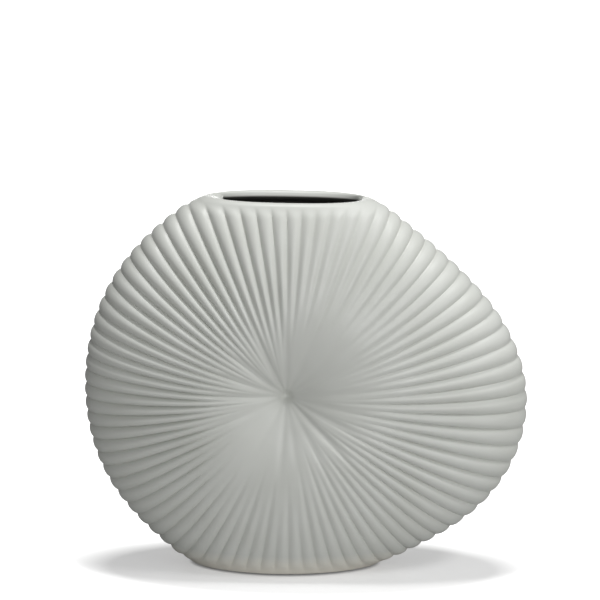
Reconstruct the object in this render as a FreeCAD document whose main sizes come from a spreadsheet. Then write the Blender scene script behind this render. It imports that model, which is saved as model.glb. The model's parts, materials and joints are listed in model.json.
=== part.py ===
import FreeCAD, Part
import os
from math import atan2, cos, exp, hypot, pi, radians, sin, sqrt

# A flat ribbed vase: a lens-shaped disc on its edge, drawn in to a dimple in the middle of both
# broad faces, with its top cut open for the mouth and its bottom cut flat for the foot.
# +X is to the right of the front face, +Y points away from the viewer and +Z is up. The origin lies
# on the table, under the middle of the vase's whole width.

V = FreeCAD.Vector

doc = FreeCAD.newDocument("fan_vase")

# Lengths in millimetres
LENGTHS = (
    ("rim_radius", 168.0, "mean radius of the rim, measured in the valleys between ribs"),
    ("crown_half", 50.0, "half of the disc's thickness, as if it had no dimple"),
    ("dimple_depth", 20.0, "how far the middle of each face is drawn in"),
    ("dimple_spread", 25.0, "radius over which the dimple opens out"),
    ("dimple_tip", 3.0, "radius of the dimple's soft bottom"),
    ("mouth_cut", 17.0, "height cut off the top of the disc for the mouth"),
    ("foot_cut", 29.4, "height cut off the bottom of the disc for the foot"),
    ("rib_relief", 1.9, "height of a rib above its valleys at the rim"),
    ("lip_band", 6.0, "height under the lip in which the ribs fade"),
    ("foot_band", 5.5, "height over the foot in which the ribs fade"),
    ("lip_round", 2.2, "radius of both edges of the lip"),
    ("foot_round", 2.5, "radius of the foot's edge"),
    ("wall", 5.5, "thickness of the cast wall"),
    ("floor_wall", 8.0, "thickness of the floor inside"),
    ("foot_ring", 13.0, "width of the ring round the recess under the foot"),
    ("recess_depth", 1.5, "depth of that recess"),
    ("glaze_coat", 0.6, "thickness of the dark glaze inside"),
    ("glaze_drop", 4.6, "bare wall between the lip and the dark glaze"),
    ("pad_radius", 5.0, "radius of a felt pad"),
    ("pad_height", 1.0, "thickness of a felt pad"),
    ("pad_margin", 2.0, "distance from a pad to the edge of the flat under the foot"),
    ("blend_lap", 0.1, "overlap of a rounded edge with the wall that it rounds"),
)

# Radius of the rim as a share of rim_radius, at angles in degrees from +X towards +Z
RIM_SHARES = (
    (0, 1.131), (30, 0.997), (60, 0.958), (75, 1.002), (90, 1.006), (105, 1.003), (120, 0.973),
    (150, 0.944), (180, 0.930), (210, 0.948), (240, 0.980), (270, 1.074), (300, 1.012), (330, 1.117),
)
TOP_SHARE = dict(RIM_SHARES)[90]
BOTTOM_SHARE = dict(RIM_SHARES)[270]

# Lengths that follow from the others
DERIVED = (
    ("mouth_rise", "=rim_radius * %s - mouth_cut" % TOP_SHARE, "height of the lip above the dimple"),
    ("foot_drop", "=rim_radius * %s - foot_cut" % BOTTOM_SHARE, "depth of the foot below the dimple"),
)

sheet = doc.addObject("Spreadsheet::Sheet", "sizes")
sheet.Label = "sizes"
for row, (alias, length, meaning) in enumerate(LENGTHS + DERIVED, start=1):
    sheet.set("A%d" % row, alias)
    sheet.set("B%d" % row, str(length))
    sheet.setAlias("B%d" % row, alias)
    sheet.set("C%d" % row, meaning)
doc.recompute()
SIZE = {alias: float(getattr(sheet, alias)) for alias, length, meaning in LENGTHS + DERIVED}

# Exponent of the crown: 2 would be an ellipse, and more is flatter in the middle
CROWN_POWER = 2.53

RIB_COUNT = 82
FIRST_VALLEY_DEG = 4.0
# The hand-cut ribs drift from even spacing: waves round the rim, swing and lag in degrees
RIB_DRIFT = ((3, 0.5, 92.0), (6, 0.27, -68.0))
# The ribs rise out of the smooth middle between these shares of the way to the rim
RIB_START_SHARE = 0.15
RIB_FULL_SHARE = 0.5

# Smooth surfaces, such as the inside, are built from this many sectors
SMOOTH_SECTORS = 12
# Points round the mouth and the foot, and sections of a rounded edge
OVAL_STATIONS = 48
ROUND_SECTIONS = 4
# Halvings that find where a direction meets the disc
HALVINGS = 36
# The pads stand at this share of the foot's half length
PAD_SPOT_SHARE = 0.68
# The blocks that trim the disc are this many times as wide as its rim radius and its crown half
BLOCK_SHARE = 4

FULL_TURN = 2 * pi
# Turns from a dimple towards the rim at which a strip is measured, up to the middle of the strip,
# which has even steps: fine ones on a ribbed strip, for its meeting with the lip and the foot
FACE_TURNS = tuple(radians(turn) for turn in (0, 4, 8, 12, 18, 24, 30, 36, 42, 48))
MIDDLE_FROM = radians(54)
WIDE_STEP = radians(6)
FINE_STEP = radians(2.25)
# Turn over which a direction on the surface is taken
NUDGE = radians(0.01)


def rim_graph():
    """Smooth closed curve of the rim's share against the angle."""
    points = []
    for lap in (-1, 0, 1):
        for angle, share in RIM_SHARES:
            points.append(V(radians(angle) + lap * FULL_TURN, share, 0))
    graph = Part.BSplineCurve()
    graph.interpolate(Points=points, Parameters=[point.x for point in points])
    return graph


RIM = rim_graph()


def rim_reach(angle, inset):
    """Distance from the dimple's centre to the rim of a disc that lies inset inside the vase's."""
    return SIZE["rim_radius"] * RIM.value(angle % FULL_TURN).y - inset


def half_depth(share, radius, inset):
    """Half of the disc's thickness at a share of the way to the rim."""
    crown = (SIZE["crown_half"] - inset) * sqrt(max(1 - share ** CROWN_POWER, 0))
    way_out = hypot(radius, SIZE["dimple_tip"]) - SIZE["dimple_tip"]
    return crown - SIZE["dimple_depth"] * exp(-way_out / SIZE["dimple_spread"])


def core_point(angle, turn, inset):
    """Point of the disc without ribs, about the dimple's centre.

    turn is 0 in the front dimple, a quarter turn on the rim and a half turn in the back dimple.
    """
    share = sin(turn)
    radius = share * rim_reach(angle, inset)
    side = 1 if cos(turn) > 0 else -1
    return V(radius * cos(angle), -side * half_depth(share, radius, inset), radius * sin(angle))


def core_normal(angle, turn):
    """Outward direction of the disc without ribs."""
    across = core_point(angle + NUDGE, turn, 0) - core_point(angle - NUDGE, turn, 0)
    along = core_point(angle, turn + NUDGE, 0) - core_point(angle, turn - NUDGE, 0)
    return along.cross(across).normalize()


def rise(value):
    """Eased step from 0 to 1."""
    value = min(max(value, 0), 1)
    return value * value * (3 - 2 * value)


def rib_height(turn, height):
    """Relief of a rib's crest, faded in the middle of the face, under the lip and over the foot."""
    share = sin(turn)
    grown = share * rise((share - RIB_START_SHARE) / (RIB_FULL_SHARE - RIB_START_SHARE))
    under_lip = rise((SIZE["mouth_rise"] - SIZE["lip_round"] - height) / SIZE["lip_band"])
    over_foot = rise((SIZE["foot_drop"] - SIZE["foot_round"] + height) / SIZE["foot_band"])
    return SIZE["rib_relief"] * grown * under_lip * over_foot


def valley_angle(index):
    even = FULL_TURN * index / RIB_COUNT
    drift = sum(swing * cos(waves * even - radians(lag)) for waves, swing, lag in RIB_DRIFT)
    return radians(FIRST_VALLEY_DEG + drift) + even


def turns_along(ribbed):
    """Turns from one dimple to the other."""
    middle_steps = round((pi - 2 * MIDDLE_FROM) / (FINE_STEP if ribbed else WIDE_STEP))
    middle_step = (pi - 2 * MIDDLE_FROM) / middle_steps
    middle = [MIDDLE_FROM + step * middle_step for step in range(middle_steps + 1)]
    return list(FACE_TURNS) + middle + [pi - turn for turn in reversed(FACE_TURNS)]


def strip_face(start, end, inset, ribbed):
    """One strip from dimple to dimple over the rim, arched from side to side."""
    turns = turns_along(ribbed)
    middle = (start + end) / 2
    starts = [core_point(start, turn, inset) for turn in turns]
    ends = [core_point(end, turn, inset) for turn in turns]
    arch = []
    for turn, left, right in zip(turns, starts, ends):
        crest = core_point(middle, turn, inset)
        relief = rib_height(turn, crest.z) if ribbed else 0
        if relief > 0:
            crest = crest + core_normal(middle, turn) * relief
        arch.append(crest * 2 - (left + right) / 2)
    rows = [Part.BSplineCurve() for row in range(3)]
    for row, points in zip(rows, (starts, arch, ends)):
        row.interpolate(Points=points, Parameters=turns)
    poles = [list(column) for column in zip(*(row.getPoles() for row in rows))]
    knots = rows[0].getKnots()
    repeats = rows[0].getMultiplicities()
    surface = Part.BSplineSurface()
    surface.buildFromPolesMultsKnots(poles, repeats, [3, 3], knots, [0, 1], False, False, 3, 2)
    return surface.toShape()


def shaped(name, shape):
    """Object that holds a shape made about the dimple's centre."""
    feature = doc.addObject("Part::Feature", name)
    feature.Label = name
    feature.Shape = shape
    return feature


def disc(name, angles, inset, ribbed):
    """Closed disc from strips between the given angles."""
    ring = angles + [angles[0] + FULL_TURN]
    strips = [strip_face(start, end, inset, ribbed) for start, end in zip(ring, ring[1:])]
    shell = Part.makeShell(strips)
    shell.sewShape()
    return shaped(name, Part.makeSolid(shell))


def is_inside(point, inset):
    """True inside the smooth disc that lies inset inside the vase's."""
    radius = hypot(point.x, point.z)
    reach = rim_reach(atan2(point.z, point.x), inset)
    return radius < reach and abs(point.y) < half_depth(radius / reach, radius, inset)


def edge_point(start, direction, inset):
    """Point where a line that sets out inside the smooth disc comes out of it."""
    low, high = 0, 1
    for halving in range(HALVINGS):
        half = (low + high) / 2
        if is_inside(start + direction * half, inset):
            low = half
        else:
            high = half
    return start + direction * low


def oval_points(height, inset):
    """Points of the level section of the smooth disc, from the right end towards the back."""
    points = []
    for station in range(OVAL_STATIONS):
        turn = FULL_TURN * station / OVAL_STATIONS
        direction = V(SIZE["rim_radius"] * cos(turn), SIZE["crown_half"] * sin(turn), 0)
        points.append(edge_point(V(0, 0, height), direction, inset))
    return points


def oval_wire(height, inset):
    curve = Part.BSplineCurve()
    stations = [FULL_TURN * station / OVAL_STATIONS for station in range(OVAL_STATIONS + 1)]
    curve.interpolate(Points=oval_points(height, inset), PeriodicFlag=True, Parameters=stations)
    return Part.Wire(curve.toShape())


def rounded_edge(name, level, outward, radius, inset, inward):
    """Solid whose side is a quarter round that ends at a level face.

    outward is 1 for an edge that faces up and -1 for one that faces down. inward is 1 where the
    round closes in on its way to the face, and -1 where it opens out.
    """
    wires = []
    for section in range(ROUND_SECTIONS + 1):
        turn = pi / 2 * section / ROUND_SECTIONS
        height = level - outward * radius * (1 - sin(turn))
        step = radius * (1 - cos(turn)) - SIZE["blend_lap"]
        wires.append(oval_wire(height, inset + inward * step))
    return shaped(name, Part.makeLoft(wires, True))


def combined(kind, name, first, second):
    """Boolean of two objects."""
    feature = doc.addObject(kind, name)
    feature.Label = name
    if kind == "Part::Cut":
        feature.Base = first
        feature.Tool = second
    else:
        feature.Shapes = [first, second]
    return feature


def block(name, bottom, height):
    """Block much wider than the disc, from a bottom height upwards."""
    feature = doc.addObject("Part::Box", name)
    feature.Label = name
    feature.setExpression("Length", "%d * sizes.rim_radius" % BLOCK_SHARE)
    feature.setExpression("Width", "%d * sizes.crown_half" % BLOCK_SHARE)
    feature.setExpression("Height", height)
    feature.setExpression("Placement.Base.x", "-%d * sizes.rim_radius / 2" % BLOCK_SHARE)
    feature.setExpression("Placement.Base.y", "-%d * sizes.crown_half / 2" % BLOCK_SHARE)
    feature.setExpression("Placement.Base.z", bottom)
    return feature


valleys = [valley_angle(index) for index in range(RIB_COUNT)]
sectors = [FULL_TURN * index / SMOOTH_SECTORS for index in range(SMOOTH_SECTORS)]
lip_level = SIZE["mouth_rise"]
foot_level = -SIZE["foot_drop"]

# Forms about the dimple's centre
ribbed_disc = disc("ribbed_disc", valleys, 0, True)
inner_disc = disc("inner_disc", sectors, SIZE["wall"], False)
coat_disc = disc("coat_disc", sectors, SIZE["wall"] + SIZE["glaze_coat"], False)
lip_edge = rounded_edge("lip_edge", lip_level, 1, SIZE["lip_round"], 0, 1)
mouth_edge = rounded_edge("mouth_edge", lip_level, 1, SIZE["lip_round"], SIZE["wall"], -1)
foot_edge = rounded_edge("foot_edge", foot_level, -1, SIZE["foot_round"], 0, 1)

# They are set over the origin, which is under the middle of the ribbed disc's width
box = ribbed_disc.Shape.optimalBoundingBox(False, False)
centre = V(-box.Center.x, 0, SIZE["pad_height"] + SIZE["foot_drop"])
for form in (ribbed_disc, inner_disc, coat_disc, lip_edge, mouth_edge, foot_edge):
    form.Placement = FreeCAD.Placement(centre, FreeCAD.Rotation())

# Outside of the body: the ribbed disc between the rounded edges of the lip and the foot
middle_block = block(
    "middle_block",
    "sizes.pad_height + sizes.foot_round",
    "sizes.foot_drop + sizes.mouth_rise - sizes.foot_round - sizes.lip_round",
)
lip_and_middle = combined("Part::MultiFuse", "lip_and_middle", middle_block, lip_edge)
envelope = combined("Part::MultiFuse", "envelope", lip_and_middle, foot_edge)
outside = combined("Part::MultiCommon", "outside", ribbed_disc, envelope)

# Hollow of the body: the inner disc above the floor, opened out at the mouth
hollow_block = block(
    "hollow_block",
    "sizes.pad_height + sizes.floor_wall",
    "sizes.foot_drop + sizes.mouth_rise - sizes.floor_wall",
)
hollow_core = combined("Part::MultiCommon", "hollow_core", inner_disc, hollow_block)
hollow = combined("Part::MultiFuse", "hollow", hollow_core, mouth_edge)
walled = combined("Part::Cut", "walled", outside, hollow)

# Recess under the foot: an oval inside the ring that the vase stands on
foot_points = oval_points(foot_level, 0)
foot_half_length = max(abs(point.x) for point in foot_points)
foot_half_depth = max(point.y for point in foot_points)
recess_outline = doc.addObject("Part::Ellipse", "recess_outline")
recess_outline.Label = "recess_outline"
recess_outline.MajorRadius = foot_half_length - SIZE["foot_ring"]
recess_outline.MinorRadius = foot_half_depth - SIZE["foot_ring"]
recess_outline.Placement = FreeCAD.Placement(V(centre.x, 0, SIZE["pad_height"]), FreeCAD.Rotation())
recess = doc.addObject("Part::Extrusion", "recess")
recess.Label = "recess"
recess.Base = recess_outline
recess.DirMode = "Normal"
recess.Solid = True
recess.setExpression("LengthFwd", "sizes.recess_depth")
vase_body = combined("Part::Cut", "vase_body", walled, recess)

# Dark glaze: a coat on the wall and floor inside, up to its edge below the lip
glaze_block = block(
    "glaze_block",
    "sizes.pad_height + sizes.floor_wall",
    "sizes.foot_drop + sizes.mouth_rise - sizes.floor_wall - sizes.glaze_drop",
)
bare_block = block(
    "bare_block",
    "sizes.pad_height + sizes.floor_wall + sizes.glaze_coat",
    "sizes.foot_drop + sizes.mouth_rise",
)
glaze_filled = combined("Part::MultiCommon", "glaze_filled", inner_disc, glaze_block)
bare_hollow = combined("Part::MultiCommon", "bare_hollow", coat_disc, bare_block)
interior_glaze = combined("Part::Cut", "interior_glaze", glaze_filled, bare_hollow)


def felt_pad(name, x_side, y_side):
    """Felt pad near one corner of the foot, in from its edge."""
    spot = V(x_side * PAD_SPOT_SHARE * foot_half_length, 0, foot_level)
    edge = edge_point(spot, V(0, SIZE["crown_half"], 0), 0)
    inset = SIZE["foot_round"] + SIZE["pad_margin"] + SIZE["pad_radius"]
    pad = doc.addObject("Part::Cylinder", name)
    pad.Label = name
    pad.setExpression("Radius", "sizes.pad_radius")
    pad.setExpression("Height", "sizes.pad_height")
    place = V(centre.x + spot.x, y_side * (edge.y - inset), 0)
    pad.Placement = FreeCAD.Placement(place, FreeCAD.Rotation())
    return pad


felt_pads = [
    felt_pad("felt_pad_front_left", -1, -1),
    felt_pad("felt_pad_front_right", 1, -1),
    felt_pad("felt_pad_back_left", -1, 1),
    felt_pad("felt_pad_back_right", 1, 1),
]

doc.recompute()

for feature in doc.Objects:
    if "Invalid" in feature.State or "Error" in feature.State:
        raise RuntimeError("%s failed: %s" % (feature.Label, feature.State))

os.makedirs("parts", exist_ok=True)
for node in [vase_body, interior_glaze] + felt_pads:
    if node.Shape.isNull() or not node.Shape.isValid():
        raise RuntimeError("%s has no valid shape" % node.Label)
    node.Shape.exportStep("parts/%s.step" % node.Label)
    extent = node.Shape.optimalBoundingBox(False, False)
    print(node.Label, "solids", len(node.Shape.Solids), "volume", round(node.Shape.Volume, 1), "box", extent)
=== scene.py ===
import json
from math import cos, pi, radians, sin

import bmesh
import bpy
import numpy as np
from mathutils import Matrix, Vector

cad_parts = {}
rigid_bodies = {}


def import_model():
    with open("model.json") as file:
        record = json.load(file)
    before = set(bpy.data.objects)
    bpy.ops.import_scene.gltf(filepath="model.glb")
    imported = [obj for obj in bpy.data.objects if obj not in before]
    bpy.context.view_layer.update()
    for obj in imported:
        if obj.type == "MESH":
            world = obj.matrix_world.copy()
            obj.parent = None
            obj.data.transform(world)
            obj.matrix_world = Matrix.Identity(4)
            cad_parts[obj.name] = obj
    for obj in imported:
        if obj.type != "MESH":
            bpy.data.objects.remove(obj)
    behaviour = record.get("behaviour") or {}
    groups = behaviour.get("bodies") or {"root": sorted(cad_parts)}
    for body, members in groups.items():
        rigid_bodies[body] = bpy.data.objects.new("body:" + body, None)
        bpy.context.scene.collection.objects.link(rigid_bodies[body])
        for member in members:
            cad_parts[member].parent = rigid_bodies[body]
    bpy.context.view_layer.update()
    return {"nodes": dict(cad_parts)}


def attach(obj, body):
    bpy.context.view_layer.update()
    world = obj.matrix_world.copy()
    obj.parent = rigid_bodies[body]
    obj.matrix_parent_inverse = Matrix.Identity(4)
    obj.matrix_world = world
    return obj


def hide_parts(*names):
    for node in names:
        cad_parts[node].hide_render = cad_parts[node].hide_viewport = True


# A flat ribbed vase on a pale studio floor, with +X to the right of the front face, +Y towards the
# back and +Z up. The pieces are shaped in millimetres about their own middle and then set in place
# in metres. Materials and studio are in metres too, but for the camera's lens and sensor.
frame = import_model()

MM = 0.001
FULL_TURN = 2 * pi
scene = bpy.context.scene
scene.view_settings.view_transform = "Standard"

# The disc's form, as in the part's source, in millimetres, with its rim by (degrees, share)
RIM_RADIUS = 168.0
RIM_SHARES = (
    (0, 1.131), (30, 0.997), (60, 0.958), (75, 1.002), (90, 1.006), (105, 1.003), (120, 0.973),
    (150, 0.944), (180, 0.930), (210, 0.948), (240, 0.980), (270, 1.074), (300, 1.012), (330, 1.117),
)
CROWN_HALF = 50.0
CROWN_POWER = 2.53
DIMPLE_DEPTH = 20.0
DIMPLE_SPREAD = 25.0
DIMPLE_TIP = 3.0
MOUTH_CUT = 17.0
FOOT_CUT = 29.4
LIP_RISE = RIM_RADIUS * dict(RIM_SHARES)[90] - MOUTH_CUT
FOOT_DROP = RIM_RADIUS * dict(RIM_SHARES)[270] - FOOT_CUT
PAD_RADIUS = 5.0
PAD_HEIGHT = 1.0
PAD_BEVEL = 0.2
PAD_BEVEL_STEPS = 3
PAD_SIDES = 48
WALL = 5.5
FLOOR_WALL = 8.0
FOOT_RING = 13.0
RECESS_DEPTH = 1.5
RECESS_SLOPE = 0.5
# The lip is rolled nearly to a full round, and the foot's edge is softened
LIP_ROUND = 2.6
# The lip's inner side is a wider roll that narrows the mouth before the wall falls away. Its ends
# are tucked in, and the dark glaze starts at its bottom.
ROLL_DROP = 4.4
ROLL_DROP_POWER = 1.4
ROLL_SHARE = 0.2
ROLL_SHARE_POWER = 0.8
ROLL_STEPS = 9
ROLL_GLAZE_START = 0.8
TUCK_LEFT = 12.0
TUCK_RIGHT = 6.0
FOOT_ROUND = 1.5
ROUND_STEPS = 6
WALL_STEPS = 40
LEVEL_SLACK = 0.05
MERGE_GAP = 0.002
SMOOTH_ANGLE = radians(62)
# Where a level meets the rim is looked for in this many steps, this many rim radii to each side
SCAN_STEPS = 20001
SCAN_REACH = 1.3

# Ribs: a slow drift from even spacing as (waves, swing, lag) in degrees, and a relief that fades to
# the dimple, the lip and the foot
RIB_COUNT = 82
FIRST_VALLEY_DEG = 4.0
RIB_DRIFT = ((3, 0.5, 92.0), (6, 0.27, -68.0))
RIB_RELIEF = 1.85
RIB_POWER = 2.3
# Extra depth of the valleys half-way out, by angle
MID_DEPTHS = (
    (0, 1.3), (25, 0.4), (60, 0.1), (75, 0.2), (90, 0.8), (107, 1.5), (130, 1.8), (155, 1.8),
    (180, 2.8), (200, 2.8), (215, 1.8), (235, 0.8), (270, 0.4), (300, 0.4), (330, 1.8), (347, 2.2),
)
LIP_BAND = 8.0
FOOT_BAND = 10.0
# Share of the way to the rim at which the valleys turn from soft to creased, by angle
CREASE_SHARES = (
    (0, 0.22), (35, 0.45), (70, 0.75), (92, 0.62), (120, 0.25), (160, 0.15), (200, 0.15), (235, 0.4),
    (270, 0.55), (305, 0.4), (335, 0.2),
)
# Share of the way to the rim at which the valleys begin, by angle
FADE_SHARES = (
    (0, 0.18), (30, 0.26), (60, 0.38), (85, 0.26), (110, 0.10), (140, 0.10), (180, 0.14), (215, 0.26),
    (250, 0.36), (280, 0.32), (310, 0.20), (335, 0.16),
)
FADE_WIDTH = 0.4
# How far the starts of neighbouring valleys swing in turns, how the pairs wander, and how far
# single valleys stray
PAIR_SWING = 0.07
PAIR_WANDER = 0.9
PAIR_WANDER_RATE = 1.7
STRAY_SWING = 0.03
STRAY_RATE = 0.73
# Widths, as shares of the way to the rim, over which creases, crests and deeper valleys set in
CREASE_WIDTH = 0.3
CREST_START = 0.15
CREST_WIDTH = 0.35
DEEP_START = 0.2
DEEP_WIDTH = 0.3
# Columns of the mesh across one rib, closer together at the valley
RIB_PHASES = (0, 0.08, 0.19, 0.33, 0.5, 0.67, 0.81, 0.92)
# Rows of the mesh from the dimple to the rim, a little closer together at the dimple
FACE_ROWS = 64
ROW_POWER = 1.25
# The faces end just short of the rim, where one strip joins front and back
RIM_TURN = radians(89.1)
# Share of the way to the rim from which the painted shade in a valley is at its deepest
VALLEY_SHADE_REACH = 0.5

# Folds that run from the dimple into the ribs: angle in degrees, depth in millimetres
FOLDS = (
    (10, 0.6), (31, 0.5), (50, 0.3), (70, 0.25), (92, 0.6), (115, 1.1), (138, 1.2), (157, 0.8),
    (175, 1.0), (200, 0.3), (216, 0.2), (240, 0.2), (266, 0.5), (280, 0.3), (300, 0.5), (317, 1.3),
    (336, 0.7), (352, 0.5),
)
FOLD_WIDTH = 2.9
FOLD_TIP_WIDTH = 0.8
FOLD_SPLAY = 0.1
# Distances from the dimple at which the folds set in and fade out, with the lengths of both
FOLD_START, FOLD_EASE = 2, 10
FOLD_END, FOLD_FADE = 75, 35
# The dimple's tip is pinched in a little further
PINCH_DEPTH = 3.5
PINCH_WIDTH = 3.6

# White glaze: pinhole specks, painted shade in the valleys between the ribs, a lighter band at the foot
# that is thin glaze's tone and painted light, and the grains and heights of its texture, in metres. A
# tint is the greatest share of the other colour.
SPECK_GAP = 40 * MM
SPECK_RADIUS = 0.7 * MM
SPECK_CORE_SHARE = 0.6
SPECK_TINT = 0.7
VALLEY_SHADE_START = 0.3
VALLEY_SHADE_TINT = 0.2
# Thin glaze's warmer tone at the foot, made lighter as painted light on the shaded underside
FOOT_TONE_AND_LIGHT_TINT = 0.9
FOOT_TONE_AND_LIGHT_SPAN = (5 * MM, 20 * MM)
CLOUD_GRAIN = 45 * MM
SHEEN_GRAIN = 12 * MM
WAVE_GRAIN = 14 * MM
WAVE_HEIGHT = 0.25 * MM
FINE_GRAIN = 0.9 * MM
FINE_HEIGHT = 0.03 * MM
# Inner glaze: grains of its colour, of its sheen and of the runs in it
INNER_CLOUD_GRAIN = 18 * MM
INNER_SHEEN_GRAIN = 8 * MM
RUN_GRAIN = 5 * MM
RUN_HEIGHT = 0.1 * MM
# Felt: a fibre's grain, its height and the noise values it spans
FIBRE_GRAIN = 0.35 * MM
FIBRE_HEIGHT = 0.12 * MM
FIBRE_SPAN = (0.2, 0.8)
GLAZE_IOR = 1.5
SATIN_ROUGHNESS = (0.42, 0.54)
INNER_ROUGHNESS = (0.4, 0.55)
FELT_ROUGHNESS = (0.88, 1.0)
# Noise stays mostly between these values
NOISE_SPAN = (0.3, 0.7)

# The studio: what the camera adds to the floor, in and outside the oval of the shadow, and the even
# light from all round
FLOOR_SIZE = 12
FLOOR_GLOW = 1.65
FAR_GLOW = 5.2
FLOOR_GLOW_SHARE = 0.2
SHADOW_RATIO = 3.0
SHADOW_AHEAD = 0.012
SHADOW_EDGE = (0.155, 0.205)
# How close under the foot the camera's light on the floor fades out: a painted contact shadow
CONTACT_SHADE_REACH = 2.5 * MM
SKY_LEVEL = 0.21
# Lamps: name, height and side angle in degrees, distance, size and watts, aimed this high
LAMP_AIM = 0.15
LAMPS = (
    ("key_light", 56, 64, 1.7, 0.4, 7.0),
    ("overhead_light", 88, 0, 1.6, 0.16, 11.4),
    ("side_light", 18, 52, 1.8, 0.8, 3.2),
    ("front_light", 4, 20, 1.9, 0.7, 9.6),
    ("left_fill", 25, -35, 1.7, 0.6, 1.2),
    ("back_light", 5, 180, 1.9, 0.8, 8.5),
)
# Camera: lift, side and roll, distance, lens and sensor in millimetres, and shift
CAMERA_ANGLES = (radians(18.45), radians(-2.0), radians(1.42))
CAMERA_DISTANCE = 1.75
CAMERA_LENS = 132.7
CAMERA_SENSOR = 36
CAMERA_SHIFT = (0.0249, 0.1398)


def closed_curve(points, at):
    """Smooth curve through given (degrees, value) points that closes after a full turn."""
    angle = np.radians([degrees for degrees, value in points])
    value = np.array([value for degrees, value in points])
    count = len(points)
    gap = np.diff(np.append(angle, angle[0] + FULL_TURN))
    matrix = np.zeros((count, count))
    right = np.zeros(count)
    for place in range(count):
        after = (place + 1) % count
        matrix[place, place - 1] += gap[place - 1]
        matrix[place, place] += 2 * (gap[place - 1] + gap[place])
        matrix[place, after] += gap[place]
        slope_before = (value[place] - value[place - 1]) / gap[place - 1]
        right[place] = 6 * ((value[after] - value[place]) / gap[place] - slope_before)
    bend = np.linalg.solve(matrix, right)
    at = np.asarray(at) % FULL_TURN
    place = np.searchsorted(angle, at, side="right") - 1
    after = (place + 1) % count
    ahead = (at - angle[place]) / gap[place]
    behind = 1 - ahead
    sag = (behind ** 3 - behind) * bend[place] + (ahead ** 3 - ahead) * bend[after]
    return behind * value[place] + ahead * value[after] + gap[place] ** 2 / 6 * sag


def rise(value):
    """Eased step from 0 to 1."""
    value = np.clip(value, 0, 1)
    return value * value * (3 - 2 * value)


def rim_reach(angle, inset=0):
    """Distance from the dimple's centre to the rim of a disc that lies inset inside the vase's."""
    return RIM_RADIUS * closed_curve(RIM_SHARES, angle) - inset


def half_depth(share, radius, inset=0):
    """Half of the disc's thickness at a share of the way to the rim."""
    crown = (CROWN_HALF - inset) * np.sqrt(np.maximum(1 - share ** CROWN_POWER, 0))
    way_out = np.hypot(radius, DIMPLE_TIP) - DIMPLE_TIP
    return crown - DIMPLE_DEPTH * np.exp(-way_out / DIMPLE_SPREAD)


def face_points(angle, turn):
    """Points of the smooth front face about the dimple's centre; turn is 90 degrees at the rim."""
    share = np.sin(turn)
    radius = share * rim_reach(angle)
    depth = half_depth(share, radius)
    return np.stack([radius * np.cos(angle), -depth, radius * np.sin(angle)], -1)


def face_normals(angle, turn):
    """Outward normals of the smooth front face, from its points a nudge away."""
    nudge = 0.0002
    across = face_points(angle + nudge, turn) - face_points(angle - nudge, turn)
    along = face_points(angle, turn + nudge) - face_points(angle, turn - nudge)
    normal = np.cross(along, across)
    return normal / np.maximum(np.linalg.norm(normal, axis=-1, keepdims=True), 1e-12)


def valley_angle(index):
    """Direction of a valley about the dimple's centre."""
    even = FULL_TURN * index / RIB_COUNT
    drift = sum(swing * np.cos(waves * even - radians(lag)) for waves, swing, lag in RIB_DRIFT)
    return np.radians(FIRST_VALLEY_DEG + drift) + even


def valley_start(index):
    """Share at which a valley begins: neighbours take turns, so the ribs merge in pairs."""
    base = closed_curve(FADE_SHARES, valley_angle(index))
    pairs = PAIR_SWING * np.cos(pi * index + PAIR_WANDER * np.sin(PAIR_WANDER_RATE * index))
    return base + (pairs + STRAY_SWING * np.sin(STRAY_RATE * index + 1))


def relief(column, angle, share, radius, height):
    """Height of the ribs and folds over the smooth disc, and how deep in a valley each point lies,
    which sets the painted shade in the valleys.
    """
    rib = np.floor(column)
    phase = column - rib
    crease = rise((share - closed_curve(CREASE_SHARES, angle)) / CREASE_WIDTH)
    cut = 0
    for index, away in ((rib, phase), (rib + 1, 1 - phase)):
        begun = rise((share - valley_start(index)) / FADE_WIDTH)
        near = np.maximum(1 - 2 * away, 0)
        wave = (1 - np.cos(pi * near)) / 2
        cut = cut + begun * (wave + (near ** RIB_POWER - wave) * crease)
    under_lip = rise((LIP_RISE - LIP_ROUND - height) / LIP_BAND)
    over_foot = rise((FOOT_DROP - FOOT_ROUND + height) / FOOT_BAND)
    crest = rise((share - CREST_START) / CREST_WIDTH)
    midway = rise((share - DEEP_START) / DEEP_WIDTH)
    extra = closed_curve(MID_DEPTHS, angle) * midway * 4 * share * (1 - share)
    ribs = RIB_RELIEF * share * (crest - (1 + extra) * cut) * under_lip * over_foot
    folds = 0
    fold_share = rise((radius - FOLD_START) / FOLD_EASE) * rise((FOLD_END - radius) / FOLD_FADE)
    for degrees, depth in FOLDS:
        off = (angle - radians(degrees) + pi) % FULL_TURN - pi
        width = np.minimum(FOLD_TIP_WIDTH + FOLD_SPLAY * radius, FOLD_WIDTH)
        groove = np.exp(-(radius * off / width) ** 2) * (np.abs(off) < 1)
        folds = folds - depth * groove * fold_share
    pinch = PINCH_DEPTH * np.exp(-(radius / PINCH_WIDTH) ** 2)
    return ribs + folds - pinch, cut * under_lip * over_foot * rise(share / VALLEY_SHADE_REACH)


def level_turns(angle):
    """Turn at which each direction ends: at the rim, or where it meets the lip or the foot."""
    height = np.sin(angle) * rim_reach(angle)
    top = (LIP_RISE - LIP_ROUND) / np.maximum(height, 1)
    bottom = (FOOT_DROP - FOOT_ROUND) / np.maximum(-height, 1)
    share = np.minimum(np.minimum(top, bottom), 1)
    return np.minimum(np.arcsin(share), RIM_TURN)


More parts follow.
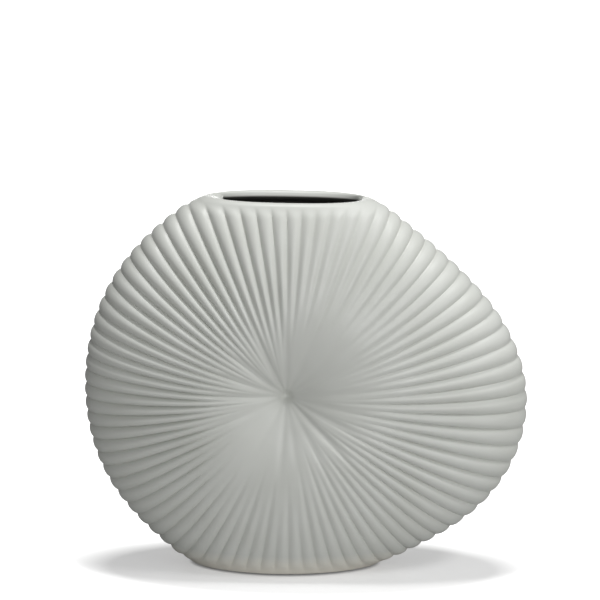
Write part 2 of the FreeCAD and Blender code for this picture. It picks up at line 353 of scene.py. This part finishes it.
def column_angles():
    """Direction of each column of the mesh, with one set on each corner of the lip and the foot."""
    columns = []
    for rib in range(RIB_COUNT):
        start, end = valley_angle(rib), valley_angle(rib + 1)
        columns += [start + (end - start) * phase for phase in RIB_PHASES]
    columns = np.array(columns)
    fine = np.linspace(0, FULL_TURN, SCAN_STEPS)
    height = np.sin(fine) * rim_reach(fine)
    for level in (LIP_RISE - LIP_ROUND, -(FOOT_DROP - FOOT_ROUND)):
        crossings = np.where(np.diff(np.sign(height - level)))[0]
        for corner in fine[crossings]:
            off = np.abs((columns - corner + pi) % FULL_TURN - pi)
            columns[np.argmin(off)] = corner
    return columns


def oval_ends(height, inset):
    """Left and right end of the level section of the smooth disc."""
    fine = np.linspace(-SCAN_REACH * RIM_RADIUS, SCAN_REACH * RIM_RADIUS, SCAN_STEPS)
    inside = np.hypot(fine, height) < rim_reach(np.arctan2(height, fine), inset)
    return fine[inside].min(), fine[inside].max()


def oval_span(height, inset, slim):
    """The oval's ends, drawn in where the roll makes it slim."""
    left, right = oval_ends(height, inset)
    tuck = (1 - slim) / ROLL_SHARE
    return left + TUCK_LEFT * tuck, right - TUCK_RIGHT * tuck


def oval_places(turn, height, inset, slim):
    """Points of the level section of the smooth disc, at turns round it from its right end, with
    its depth times slim."""
    left, right = oval_span(height, inset, slim)
    across = (left + right) / 2 + (right - left) / 2 * np.cos(turn)
    radius = np.hypot(across, height)
    share = np.minimum(radius / rim_reach(np.arctan2(height, across), inset), 1)
    depth = slim * np.maximum(half_depth(share, radius, inset), 0) * (np.abs(np.sin(turn)) > 1e-6)
    return across, depth * np.sign(np.sin(turn))


def new_mesh_piece(name):
    """The object that an operator has just added, renamed."""
    piece = bpy.context.object
    piece.name = name
    piece.data.name = name
    return piece


def select_none():
    bpy.ops.object.select_all(action="DESELECT")


def make_active(piece):
    select_none()
    piece.select_set(True)
    bpy.context.view_layer.objects.active = piece


def select_lid(piece, level):
    """Selects the flat lid at a level and gives its left and right end."""
    bpy.ops.mesh.select_all(action="DESELECT")
    bpy.ops.mesh.select_mode(type="FACE")
    mesh = bmesh.from_edit_mesh(piece.data)
    for face in mesh.faces:
        face.select = all(abs(corner.co.z - level) < LEVEL_SLACK for corner in face.verts)
    sides = [corner.co.x for face in mesh.faces if face.select for corner in face.verts]
    bmesh.update_edit_mesh(piece.data)
    return min(sides), max(sides)


def sink_lid(piece, level, path):
    """Draws the flat lid at a level through a path of (height, inset, slim, dark) ovals, as a wall
    that takes the inner glaze where dark is 1."""
    make_active(piece)
    bpy.ops.object.mode_set(mode="EDIT")
    select_lid(piece, level)
    bpy.ops.mesh.select_more()
    bpy.ops.mesh.separate(type="SELECTED")
    bpy.ops.object.mode_set(mode="OBJECT")
    rim = [other for other in bpy.context.selected_objects if other != piece][0]
    make_active(rim)
    bpy.ops.object.mode_set(mode="EDIT")
    left, right = select_lid(rim, level)
    for height, inset, slim, dark in path:
        bpy.ops.mesh.extrude_region_move()
        mesh = bmesh.from_edit_mesh(rim.data)
        moved = [corner for corner in mesh.verts if corner.select]
        across = np.array([corner.co.x for corner in moved])
        side = np.where(np.array([corner.co.y for corner in moved]) < 0, -1, 1)
        turn = np.arccos(np.clip((2 * across - left - right) / (right - left), -1, 1)) * side
        glazed = mesh.verts.layers.float["inner_glaze"]
        for corner, x, y in zip(moved, *oval_places(turn, height, inset, slim)):
            corner.co = (x, y, height)
            corner[glazed] = dark
        left, right = oval_span(height, inset, slim)
        bmesh.update_edit_mesh(rim.data)
    bpy.ops.object.mode_set(mode="OBJECT")
    make_active(piece)
    rim.select_set(True)
    bpy.ops.object.join()


def make_vase():
    """The ribbed body: a ball pressed to the disc's form, its lids sunk for the mouth and foot."""
    select_none()
    rings = 2 * FACE_ROWS + 1
    columns = column_angles()
    bpy.ops.mesh.primitive_uv_sphere_add(segments=len(columns), ring_count=rings, radius=1)
    vase = new_mesh_piece("vase_ribbed_body")
    ball = np.array([corner.co for corner in vase.data.vertices])
    round_turn = np.arctan2(ball[:, 1], ball[:, 0]) % FULL_TURN
    column = np.rint(round_turn / FULL_TURN * len(columns)).astype(int) % len(columns)
    ring = np.rint(np.arccos(np.clip(ball[:, 2], -1, 1)) / pi * rings).astype(int)
    front = ring <= FACE_ROWS
    row = np.where(front, ring, rings - ring)
    angle = columns[column]
    turn = level_turns(angle) * (row / FACE_ROWS) ** ROW_POWER
    rib_place = column // len(RIB_PHASES) + np.array(RIB_PHASES)[column % len(RIB_PHASES)]
    places = face_points(angle, turn)
    share = np.sin(turn)
    radius = share * rim_reach(angle)
    lift, valley = relief(rib_place, angle, share, radius, places[:, 2])
    places = places + face_normals(angle, np.maximum(turn, 0.001)) * lift[:, None]
    places[:, 1] *= np.where(front, 1, -1)
    vase.data.vertices.foreach_set("co", places.astype(np.float32).ravel())
    # How deep each point lies in a valley, kept to paint shade into the valleys between the ribs
    valley_shade = vase.data.attributes.new("valley_shade_paint", "FLOAT", "POINT")
    valley_shade.data.foreach_set("value", valley.astype(np.float32))
    vase.data.attributes.new("inner_glaze", "FLOAT", "POINT")
    vase.data.update()
    quarter = [pi / 2 * (step + 1) / ROUND_STEPS for step in range(ROUND_STEPS)]
    over = [(LIP_RISE - LIP_ROUND * (1 - sin(t)), LIP_ROUND * (1 - cos(t)), 1, 0) for t in quarter]
    roll = [
        (
            LIP_RISE - ROLL_DROP * step ** ROLL_DROP_POWER, LIP_ROUND + (WALL - LIP_ROUND) * step,
            1 - ROLL_SHARE * step ** ROLL_SHARE_POWER,
            rise((step - ROLL_GLAZE_START) / (1 - ROLL_GLAZE_START)),
        )
        for step in np.linspace(0, 1, ROLL_STEPS + 1)[1:]
    ]
    under_roll = [
        (LIP_RISE - ROLL_DROP * (1 + sin(t)), WALL, 1 - ROLL_SHARE * cos(t), 1) for t in quarter
    ]
    start, floor = LIP_RISE - 2 * ROLL_DROP, FLOOR_WALL - FOOT_DROP
    deep = [
        (start + (floor - start) * (step + 1) / WALL_STEPS, WALL, 1, 1) for step in range(WALL_STEPS)
    ]
    sink_lid(vase, LIP_RISE - LIP_ROUND, over + roll + under_roll + deep)
    under = [
        (-FOOT_DROP + FOOT_ROUND * (1 - sin(t)), FOOT_ROUND * (1 - cos(t)), 1, 0) for t in quarter
    ]
    ring_in = [
        (-FOOT_DROP, FOOT_RING, 1, 0), (RECESS_DEPTH - FOOT_DROP, FOOT_RING + RECESS_SLOPE, 1, 0),
    ]
    sink_lid(vase, -(FOOT_DROP - FOOT_ROUND), under + ring_in)
    bpy.ops.object.mode_set(mode="EDIT")
    bpy.ops.mesh.select_all(action="SELECT")
    bpy.ops.mesh.remove_doubles(threshold=MERGE_GAP)
    bpy.ops.mesh.normals_make_consistent(inside=False)
    bpy.ops.mesh.select_all(action="DESELECT")
    bpy.ops.object.mode_set(mode="OBJECT")
    return vase


def make_pad(name):
    """A pressed felt disc with a softened edge."""
    select_none()
    bpy.ops.mesh.primitive_cylinder_add(vertices=PAD_SIDES, radius=PAD_RADIUS, depth=PAD_HEIGHT)
    pad = new_mesh_piece(name)
    bpy.ops.object.modifier_add(type="BEVEL")
    bevel = pad.modifiers[0]
    bevel.width = PAD_BEVEL
    bevel.segments = PAD_BEVEL_STEPS
    bevel.limit_method = "ANGLE"
    bpy.ops.object.modifier_apply(modifier=bevel.name)
    return pad


def set_in_place(piece, shift):
    """Takes a piece from millimetres about its own middle to its place in the vase's frame."""
    piece.data.transform(Matrix.Scale(MM, 4) @ Matrix.Translation(shift))
    piece.data.update()
    make_active(piece)
    bpy.ops.object.shade_smooth_by_angle(angle=SMOOTH_ANGLE)


def srgb(code):
    """Linear colour of an sRGB hex code."""
    channels = [int(code[place:place + 2], 16) / 255 for place in (1, 3, 5)]
    linear = [c / 12.92 if c <= 0.04045 else ((c + 0.055) / 1.055) ** 2.4 for c in channels]
    return (*linear, 1)


def add_node(holder, kind, settings=(), values=(), links=()):
    """Adds one node with its settings, its input values, where a hex code stands for a colour, and
    its (input, from node, output) links."""
    tree = holder.node_tree
    node = tree.nodes.new(kind)
    for key, value in dict(settings).items():
        setattr(node, key, value)
    for key, value in dict(values).items():
        node.inputs[key].default_value = srgb(value) if isinstance(value, str) else value
    for socket, source, output in links:
        tree.links.new(source.outputs[output], node.inputs[socket])
    return node


def span(low, high, to_low, to_high):
    """Input values that carry one range to another."""
    return {"From Min": low, "From Max": high, "To Min": to_low, "To Max": to_high}


def new_material(name):
    material = bpy.data.materials.new(name)
    material.use_nodes = True
    material.node_tree.nodes.clear()
    return material


def white_glaze():
    """Satin off-white glaze over cast stoneware: the eye gets a soft, cool clay white with a broad
    dull sheen, a little grey painted into the valleys between the ribs as shade, a few pinhole
    specks, and a lighter, warmer band at the foot, thin glaze's tone lifted by painted light."""
    material = new_material("satin_white_glaze")
    place = add_node(material, "ShaderNodeTexCoord")
    on_vase = [("Vector", place, "Object")]
    cloud = add_node(
        material, "ShaderNodeTexNoise", values={"Scale": 1 / CLOUD_GRAIN, "Detail": 2},
        links=on_vase,
    )
    clouded = add_node(
        material, "ShaderNodeMapRange", values=span(*NOISE_SPAN, 0, 1),
        links=[("Value", cloud, "Fac")],
    )
    tone = add_node(
        material, "ShaderNodeMixRGB", values={"Color1": "#d5d7d2", "Color2": "#cfd1cb"},
        links=[("Fac", clouded, "Result")],
    )
    # Grey painted into the valleys between the ribs as shade
    valley_shade = add_node(material, "ShaderNodeAttribute", settings={"attribute_name": "valley_shade_paint"})
    valley_shade_share = add_node(
        material, "ShaderNodeMapRange", values=span(VALLEY_SHADE_START, 1, 0, VALLEY_SHADE_TINT),
        links=[("Value", valley_shade, "Fac")],
    )
    valley_shaded = add_node(
        material, "ShaderNodeMixRGB", values={"Color2": "#b4b6ae"},
        links=[("Fac", valley_shade_share, "Result"), ("Color1", tone, "Color")],
    )
    cells = add_node(
        material, "ShaderNodeTexVoronoi", values={"Scale": 1 / SPECK_GAP}, links=on_vase,
    )
    edge = SPECK_RADIUS / SPECK_GAP
    speck = add_node(
        material, "ShaderNodeMapRange", values=span(edge * SPECK_CORE_SHARE, edge, SPECK_TINT, 0),
        links=[("Value", cells, "Distance")],
    )
    specked = add_node(
        material, "ShaderNodeMixRGB", values={"Color2": "#6f6d66"},
        links=[("Fac", speck, "Result"), ("Color1", valley_shaded, "Color")],
    )
    # Lighter and warmer towards the foot: thin glaze's own tone, and painted light on the shaded
    # underside
    height = add_node(material, "ShaderNodeSeparateXYZ", links=on_vase)
    foot = add_node(
        material, "ShaderNodeMapRange", values=span(*FOOT_TONE_AND_LIGHT_SPAN, FOOT_TONE_AND_LIGHT_TINT, 0),
        links=[("Value", height, "Z")],
    )
    foot_toned_and_lit = add_node(
        material, "ShaderNodeMixRGB", values={"Color2": "#efebdf"},
        links=[("Fac", foot, "Result"), ("Color1", specked, "Color")],
    )
    # The inner glaze on the wall below the roll, a lighter grey than its own near-black as painted
    # light for the dim inside
    inner = add_node(material, "ShaderNodeAttribute", settings={"attribute_name": "inner_glaze"})
    colour = add_node(
        material, "ShaderNodeMixRGB", values={"Color2": "#62625f"},
        links=[("Fac", inner, "Fac"), ("Color1", foot_toned_and_lit, "Color")],
    )
    sheen = add_node(
        material, "ShaderNodeTexNoise", values={"Scale": 1 / SHEEN_GRAIN, "Detail": 2},
        links=on_vase,
    )
    rough = add_node(
        material, "ShaderNodeMapRange", values=span(*NOISE_SPAN, *SATIN_ROUGHNESS),
        links=[("Value", sheen, "Fac")],
    )
    waves = add_node(
        material, "ShaderNodeTexNoise", values={"Scale": 1 / WAVE_GRAIN, "Detail": 1},
        links=on_vase,
    )
    wavy = add_node(
        material, "ShaderNodeBump", values={"Strength": 0.5, "Distance": WAVE_HEIGHT},
        links=[("Height", waves, "Fac")],
    )
    fine = add_node(
        material, "ShaderNodeTexNoise", values={"Scale": 1 / FINE_GRAIN, "Detail": 2},
        links=on_vase,
    )
    bump = add_node(
        material, "ShaderNodeBump", values={"Strength": 0.5, "Distance": FINE_HEIGHT},
        links=[("Height", fine, "Fac"), ("Normal", wavy, "Normal")],
    )
    shader = add_node(
        material, "ShaderNodeBsdfPrincipled",
        values={"IOR": GLAZE_IOR, "Coat Weight": 0.12, "Coat Roughness": 0.35},
        links=[
            ("Base Color", colour, "Color"), ("Roughness", rough, "Result"), ("Normal", bump, "Normal"),
        ],
    )
    add_node(material, "ShaderNodeOutputMaterial", links=[("Surface", shader, "BSDF")])
    return material


def dark_glaze():
    """Charcoal inner glaze, painted a lighter grey than its own near-black as light for the dim inside:
    in the shade of the wall the mouth reads as a deep, near-black lens.
    """
    material = new_material("dark_inner_glaze")
    place = add_node(material, "ShaderNodeTexCoord")
    on_wall = [("Vector", place, "Object")]
    cloud = add_node(
        material, "ShaderNodeTexNoise", values={"Scale": 1 / INNER_CLOUD_GRAIN, "Detail": 2},
        links=on_wall,
    )
    clouded = add_node(
        material, "ShaderNodeMapRange", values=span(*NOISE_SPAN, 0, 1),
        links=[("Value", cloud, "Fac")],
    )
    # Grey lighter than the glaze's own near-black: painted light for the dim inside of the mouth
    colour = add_node(
        material, "ShaderNodeMixRGB", values={"Color1": "#5f5f5c", "Color2": "#676561"},
        links=[("Fac", clouded, "Result")],
    )
    sheen = add_node(
        material, "ShaderNodeTexNoise", values={"Scale": 1 / INNER_SHEEN_GRAIN, "Detail": 2},
        links=on_wall,
    )
    rough = add_node(
        material, "ShaderNodeMapRange", values=span(*NOISE_SPAN, *INNER_ROUGHNESS),
        links=[("Value", sheen, "Fac")],
    )
    runs = add_node(
        material, "ShaderNodeTexNoise", values={"Scale": 1 / RUN_GRAIN, "Detail": 2}, links=on_wall,
    )
    bump = add_node(
        material, "ShaderNodeBump", values={"Strength": 0.4, "Distance": RUN_HEIGHT},
        links=[("Height", runs, "Fac")],
    )
    shader = add_node(
        material, "ShaderNodeBsdfPrincipled", values={"IOR": GLAZE_IOR},
        links=[
            ("Base Color", colour, "Color"), ("Roughness", rough, "Result"), ("Normal", bump, "Normal"),
        ],
    )
    add_node(material, "ShaderNodeOutputMaterial", links=[("Surface", shader, "BSDF")])
    return material


def pressed_felt():
    """Dark pressed wool felt: dull and fibrous, so the pads read as soft against the hard glaze."""
    material = new_material("pressed_felt")
    place = add_node(material, "ShaderNodeTexCoord")
    fibre = add_node(
        material, "ShaderNodeTexNoise", values={"Scale": 1 / FIBRE_GRAIN, "Detail": 4},
        links=[("Vector", place, "Object")],
    )
    fibrous = add_node(
        material, "ShaderNodeMapRange", values=span(*NOISE_SPAN, 0, 1),
        links=[("Value", fibre, "Fac")],
    )
    colour = add_node(
        material, "ShaderNodeMixRGB", values={"Color1": "#211f1d", "Color2": "#37332f"},
        links=[("Fac", fibrous, "Result")],
    )
    rough = add_node(
        material, "ShaderNodeMapRange", values=span(*FIBRE_SPAN, *FELT_ROUGHNESS),
        links=[("Value", fibre, "Fac")],
    )
    bump = add_node(
        material, "ShaderNodeBump", values={"Strength": 0.8, "Distance": FIBRE_HEIGHT},
        links=[("Height", fibre, "Fac")],
    )
    shader = add_node(
        material, "ShaderNodeBsdfPrincipled", values={"Sheen Weight": 0.4, "Sheen Roughness": 0.6},
        links=[
            ("Base Color", colour, "Color"), ("Roughness", rough, "Result"), ("Normal", bump, "Normal"),
        ],
    )
    add_node(material, "ShaderNodeOutputMaterial", links=[("Surface", shader, "BSDF")])
    return material


def pale_floor():
    """Pale studio paint that keeps the vase's shadow, mixed with a little light that only the camera
    sees and that grows outside an oval round the foot, so the floor ends in white without a horizon.
    That light fades out close under the foot, which paints a thin contact shadow there. Other rays meet
    a darker paint, which keeps the ribs' undersides in shade."""
    material = new_material("pale_floor")
    rays = add_node(material, "ShaderNodeLightPath")
    place = add_node(material, "ShaderNodeTexCoord")
    oval = add_node(
        material, "ShaderNodeVectorMath", settings={"operation": "MULTIPLY_ADD"},
        values={1: (1, SHADOW_RATIO, 1), 2: (0, SHADOW_RATIO * SHADOW_AHEAD, 0)},
        links=[(0, place, "Object")],
    )
    way_off = add_node(
        material, "ShaderNodeVectorMath", settings={"operation": "LENGTH"},
        links=[(0, oval, "Vector")],
    )
    reach = add_node(
        material, "ShaderNodeMapRange", values=span(*SHADOW_EDGE, FLOOR_GLOW, FAR_GLOW),
        links=[("Value", way_off, "Value")],
    )
    seen = add_node(
        material, "ShaderNodeMath", settings={"operation": "MULTIPLY"},
        links=[(0, rays, "Is Camera Ray"), (1, reach, "Result")],
    )
    # The camera's light fades out near the foot: painted contact shadow
    contact_shade = add_node(
        material, "ShaderNodeAmbientOcclusion", settings={"samples": 8},
        values={"Distance": CONTACT_SHADE_REACH},
    )
    strength = add_node(
        material, "ShaderNodeMath", settings={"operation": "MULTIPLY"},
        links=[(0, seen, "Value"), (1, contact_shade, "AO")],
    )
    glow = add_node(
        material, "ShaderNodeEmission", values={"Color": "#ffffff"},
        links=[("Strength", strength, "Value")],
    )
    pale = add_node(
        material, "ShaderNodeMixRGB", values={"Color1": "#b4b4b4", "Color2": "#eeeeee"},
        links=[("Fac", rays, "Is Camera Ray")],
    )
    paint = add_node(material, "ShaderNodeBsdfDiffuse", links=[("Color", pale, "Color")])
    both = add_node(
        material, "ShaderNodeMixShader", values={"Fac": FLOOR_GLOW_SHARE},
        links=[(1, paint, "BSDF"), (2, glow, "Emission")],
    )
    add_node(material, "ShaderNodeOutputMaterial", links=[("Surface", both, "Shader")])
    return material


def even_sky():
    """Weak even light from all round, which the camera sees as plain white."""
    world = bpy.data.worlds.new("studio")
    scene.world = world
    world.use_nodes = True
    world.node_tree.nodes.clear()
    rays = add_node(world, "ShaderNodeLightPath")
    strength = add_node(
        world, "ShaderNodeMapRange", values=span(0, 1, SKY_LEVEL, 1),
        links=[("Value", rays, "Is Camera Ray")],
    )
    sky = add_node(
        world, "ShaderNodeBackground", values={"Color": "#ffffff"},
        links=[("Strength", strength, "Result")],
    )
    add_node(world, "ShaderNodeOutputWorld", links=[("Surface", sky, "Background")])


def look_camera():
    """Camera at the photograph's angle: aimed at the dimple, with a shift for the framing."""
    aim = Vector((centre.x, 0, centre.z)) * MM
    lift, side, roll = CAMERA_ANGLES
    back = Vector((sin(side) * cos(lift), -cos(side) * cos(lift), sin(lift)))
    right = Vector((0, 0, 1)).cross(back).normalized()
    up = back.cross(right)
    across = right * cos(roll) + up * sin(roll)
    upward = up * cos(roll) - right * sin(roll)
    data = bpy.data.cameras.new("camera")
    data.sensor_width = CAMERA_SENSOR
    data.lens = CAMERA_LENS
    data.shift_x, data.shift_y = CAMERA_SHIFT
    camera = bpy.data.objects.new("camera", data)
    scene.collection.objects.link(camera)
    turn = Matrix((across, upward, back)).transposed().to_4x4()
    camera.matrix_world = Matrix.Translation(aim + back * CAMERA_DISTANCE) @ turn
    scene.camera = camera


def soft_light(name, lift, side, distance, size, power):
    """Round soft lamp at a height and a side angle in degrees, aimed at the vase's middle."""
    aim = Vector((0, 0, LAMP_AIM))
    lift, side = radians(lift), radians(side)
    way = Vector((cos(lift) * sin(side), -cos(lift) * cos(side), sin(lift)))
    data = bpy.data.lights.new(name, "AREA")
    data.shape = "DISK"
    data.size = size
    data.energy = power
    lamp = bpy.data.objects.new(name, data)
    scene.collection.objects.link(lamp)
    lamp.location = aim + way * distance
    lamp.rotation_euler = way.to_track_quat("Z", "Y").to_euler()


# The body
vase = make_vase()
sides = [corner.co.x for corner in vase.data.vertices]
centre = Vector((-(min(sides) + max(sides)) / 2, 0, PAD_HEIGHT + FOOT_DROP))
set_in_place(vase, centre)
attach(vase, "root")
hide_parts("vase_body")
vase.data.materials.append(white_glaze())

# The inside's glaze coat keeps its solid
nodes = frame["nodes"]
nodes["interior_glaze"].data.materials.clear()
nodes["interior_glaze"].data.materials.append(dark_glaze())

# The four pads, each in the place of its solid
felt = pressed_felt()
for name in [name for name in nodes if name.startswith("felt_pad")]:
    corners = [nodes[name].matrix_world @ Vector(corner) for corner in nodes[name].bound_box]
    pad = make_pad(name + "_soft")
    set_in_place(pad, sum(corners, Vector()) / len(corners) / MM)
    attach(pad, "root")
    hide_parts(name)
    pad.data.materials.append(felt)

# The studio
select_none()
bpy.ops.mesh.primitive_plane_add(size=FLOOR_SIZE, location=(0, 0, 0))
floor = new_mesh_piece("studio_floor")
floor.data.materials.append(pale_floor())
look_camera()
for lamp_settings in LAMPS:
    soft_light(*lamp_settings)
even_sky()
